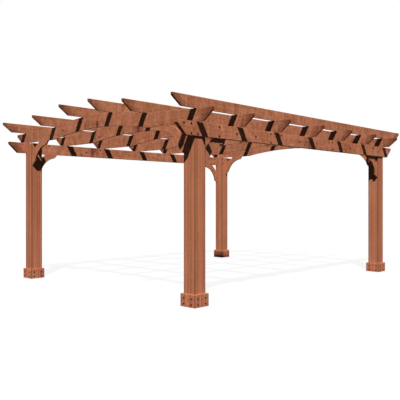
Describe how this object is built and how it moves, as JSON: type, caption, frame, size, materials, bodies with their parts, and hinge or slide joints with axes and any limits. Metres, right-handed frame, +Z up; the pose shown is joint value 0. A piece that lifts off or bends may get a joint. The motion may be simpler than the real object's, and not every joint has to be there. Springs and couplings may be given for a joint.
{
  "type": "wooden pergola",
  "caption": "Open wooden pergola: four square posts with boxed feet, long beams, arched cross rafters, stepped purlins and curved knee braces.",
  "frame": {"origin": "on the ground, under the middle of the roof", "axes": "+X along the long beams and purlins, +Y along the cross rafters, +Z up"},
  "size_m": [6.466, 4.924, 2.9087],
  "materials": {
    "post": "stained redwood, planed, satin",
    "base_trim": "stained redwood, planed, satin",
    "beam": "stained redwood, planed, satin",
    "rafter": "stained redwood, planed, satin",
    "purlin": "stained redwood, planed, satin",
    "brace": "stained redwood, planed, satin"
  },
  "bodies": {
    "root": {"base_trim_back_left_back": "base_trim", "base_trim_back_left_front": "base_trim", "base_trim_back_left_left": "base_trim", "base_trim_back_left_right": "base_trim", "base_trim_back_right_back": "base_trim", "base_trim_back_right_front": "base_trim", "base_trim_back_right_left": "base_trim", "base_trim_back_right_right": "base_trim", "base_trim_front_left_back": "base_trim", "base_trim_front_left_front": "base_trim", "base_trim_front_left_left": "base_trim", "base_trim_front_left_right": "base_trim", "base_trim_front_right_back": "base_trim", "base_trim_front_right_front": "base_trim", "base_trim_front_right_left": "base_trim", "base_trim_front_right_right": "base_trim", "beam_back": "beam", "beam_front": "beam", "brace_back_left_across": "brace", "brace_back_left_along": "brace", "brace_back_right_across": "brace", "brace_back_right_along": "brace", "brace_front_left_across": "brace", "brace_front_left_along": "brace", "brace_front_right_across": "brace", "brace_front_right_along": "brace", "post_back_left": "post", "post_back_right": "post", "post_front_left": "post", "post_front_right": "post", "purlin_1": "purlin", "purlin_2": "purlin", "purlin_3": "purlin", "purlin_4": "purlin", "purlin_5": "purlin", "purlin_6": "purlin", "rafter_1": "rafter", "rafter_2": "rafter", "rafter_3": "rafter", "rafter_4": "rafter", "rafter_5": "rafter", "rafter_6": "rafter", "rafter_7": "rafter"}
  },
  "joints": []
}
